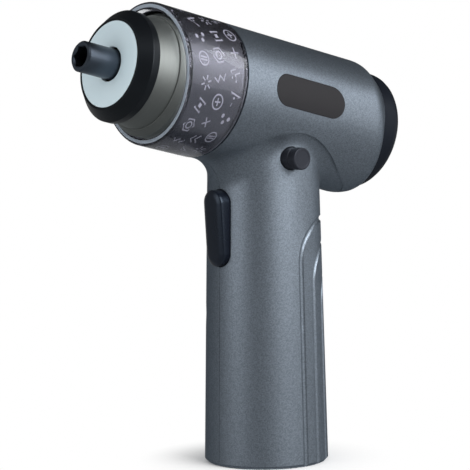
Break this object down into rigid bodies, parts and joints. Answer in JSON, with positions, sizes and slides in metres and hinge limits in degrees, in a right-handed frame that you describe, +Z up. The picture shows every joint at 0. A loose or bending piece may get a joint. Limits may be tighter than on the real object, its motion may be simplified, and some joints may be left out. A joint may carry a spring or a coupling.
{
  "type": "electric screwdriver",
  "caption": "Pistol-grip cordless screwdriver with a raked barrel, clear nose cover, ring lamp, hex bit socket, trigger and push-through direction selector.",
  "frame": {"origin": "centre of the handle's flat base", "axes": "+Z up along the handle, +X towards the bit, +Y to the tool's left; the barrel is raked up 12.9 degrees at the front"},
  "size_m": [0.1259, 0.0469, 0.1549],
  "materials": {
    "body_paint": "satin metallic blue-grey paint with fine flake",
    "black_plastic": "fine satin black",
    "gloss_black": "semi-gloss black",
    "plate_grey": "satin dark grey, bare",
    "clear_plastic": "clear polycarbonate",
    "film": "dark printed film",
    "plated_silver": "satin silver",
    "diffuser_white": "milky translucent white",
    "black_steel": "blackened steel",
    "bright_steel": "bright steel",
    "sintered_bronze": "oiled sintered bronze",
    "zinc_steel": "zinc plated",
    "ferrite": "dark ferrite",
    "copper": "copper",
    "board_green": "solder mask",
    "diode_yellow": "phosphor",
    "cell_wrap": "shrink wrap",
    "nickel": "nickel strip",
    "carbon": "carbon"
  },
  "bodies": {
    "housing": {"left_shell": "body_paint", "right_shell": "body_paint", "name_plate": "plate_grey", "rear_cap": "black_plastic", "clear_nose_cover": "clear_plastic", "joint_gasket": "black_plastic", "printed_film": "film", "nose_cone": "plated_silver", "lamp_bezel": "gloss_black", "lamp_diffuser": "diffuser_white", "lamp_board": "board_green", "lamp_diodes": "diode_yellow", "spindle_bush": "sintered_bronze", "spindle_bearing": "bright_steel", "ring_gear": "black_steel", "gear_plate": "zinc_steel", "motor_can": "zinc_steel", "motor_end_bell": "black_plastic", "motor_bushes": "sintered_bronze", "motor_screws": "zinc_steel", "motor_brushes": "carbon", "field_magnets": "ferrite", "trigger_spring": "bright_steel", "trigger_switch": "black_plastic", "direction_switch": "black_plastic", "battery_cell": "cell_wrap", "battery_tabs": "nickel", "control_board": "board_green", "charge_port": "bright_steel", "housing_screws": "black_steel"},
    "rotor": {"motor_shaft": "bright_steel", "armature": "black_steel", "commutator": "copper", "motor_pinion": "sintered_bronze"},
    "first_stage": {"first_stage_carrier": "bright_steel"},
    "output": {"output_spindle": "black_steel", "bit_magnet": "bright_steel", "spindle_clip": "black_steel", "output_stage_carrier": "bright_steel"},
    "trigger_body": {"trigger": "black_plastic"},
    "selector": {"direction_button": "black_plastic"},
    "rear_planet_gear_1_body": {"rear_planet_gear_1": "bright_steel"},
    "rear_planet_gear_2_body": {"rear_planet_gear_2": "bright_steel"},
    "rear_planet_gear_3_body": {"rear_planet_gear_3": "bright_steel"},
    "front_planet_gear_1_body": {"front_planet_gear_1": "bright_steel"},
    "front_planet_gear_2_body": {"front_planet_gear_2": "bright_steel"},
    "front_planet_gear_3_body": {"front_planet_gear_3": "bright_steel"}
  },
  "joints": [
    {"name": "motor_spin", "type": "hinge", "parent": "housing", "child": "rotor", "pos_m": [0, 0, 0.1205], "axis": [0.9748, 0, 0.2233], "continuous": true},
    {"name": "first_stage_spin", "type": "hinge", "parent": "housing", "child": "first_stage", "pos_m": [0.00614, 0, 0.12191], "axis": [0.9748, 0, 0.2233], "continuous": true},
    {"name": "chuck_spin", "type": "hinge", "parent": "housing", "child": "output", "pos_m": [0.06823, 0, 0.13613], "axis": [0.9748, 0, 0.2233], "continuous": true},
    {"name": "rear_planet_1_spin", "type": "hinge", "parent": "first_stage", "child": "rear_planet_gear_1_body", "pos_m": [0.00614, 0.0096, 0.12191], "axis": [0.9748, 0, 0.2233], "continuous": true},
    {"name": "rear_planet_2_spin", "type": "hinge", "parent": "first_stage", "child": "rear_planet_gear_2_body", "pos_m": [0.00428, -0.0048, 0.13001], "axis": [0.9748, 0, 0.2233], "continuous": true},
    {"name": "rear_planet_3_spin", "type": "hinge", "parent": "first_stage", "child": "rear_planet_gear_3_body", "pos_m": [0.008, -0.0048, 0.1138], "axis": [0.9748, 0, 0.2233], "continuous": true},
    {"name": "front_planet_1_spin", "type": "hinge", "parent": "output", "child": "front_planet_gear_1_body", "pos_m": [0.01452, 0.0096, 0.12383], "axis": [0.9748, 0, 0.2233], "continuous": true},
    {"name": "front_planet_2_spin", "type": "hinge", "parent": "output", "child": "front_planet_gear_2_body", "pos_m": [0.01267, -0.0048, 0.13193], "axis": [0.9748, 0, 0.2233], "continuous": true},
    {"name": "front_planet_3_spin", "type": "hinge", "parent": "output", "child": "front_planet_gear_3_body", "pos_m": [0.01638, -0.0048, 0.11572], "axis": [0.9748, 0, 0.2233], "continuous": true},
    {"name": "trigger_press", "type": "slide", "parent": "housing", "child": "trigger_body", "axis": [-1, 0, 0], "range_m": [0, 0.002], "stiffness_N_per_m": 600, "springref_m": -0.003, "deforming": ["trigger_spring"]},
    {"name": "direction_slide", "type": "slide", "parent": "housing", "child": "selector", "axis": [0, -1, 0], "range_m": [0, 0.0041]}
  ],
  "couplings": [
    {"joint": "first_stage_spin", "follows": "motor_spin", "ratio": 0.1875},
    {"joint": "chuck_spin", "follows": "motor_spin", "ratio": 0.035156},
    {"joint": "rear_planet_1_spin", "follows": "motor_spin", "ratio": -0.4875},
    {"joint": "rear_planet_2_spin", "follows": "motor_spin", "ratio": -0.4875},
    {"joint": "rear_planet_3_spin", "follows": "motor_spin", "ratio": -0.4875},
    {"joint": "front_planet_1_spin", "follows": "motor_spin", "ratio": -0.091406},
    {"joint": "front_planet_2_spin", "follows": "motor_spin", "ratio": -0.091406},
    {"joint": "front_planet_3_spin", "follows": "motor_spin", "ratio": -0.091406}
  ]
}
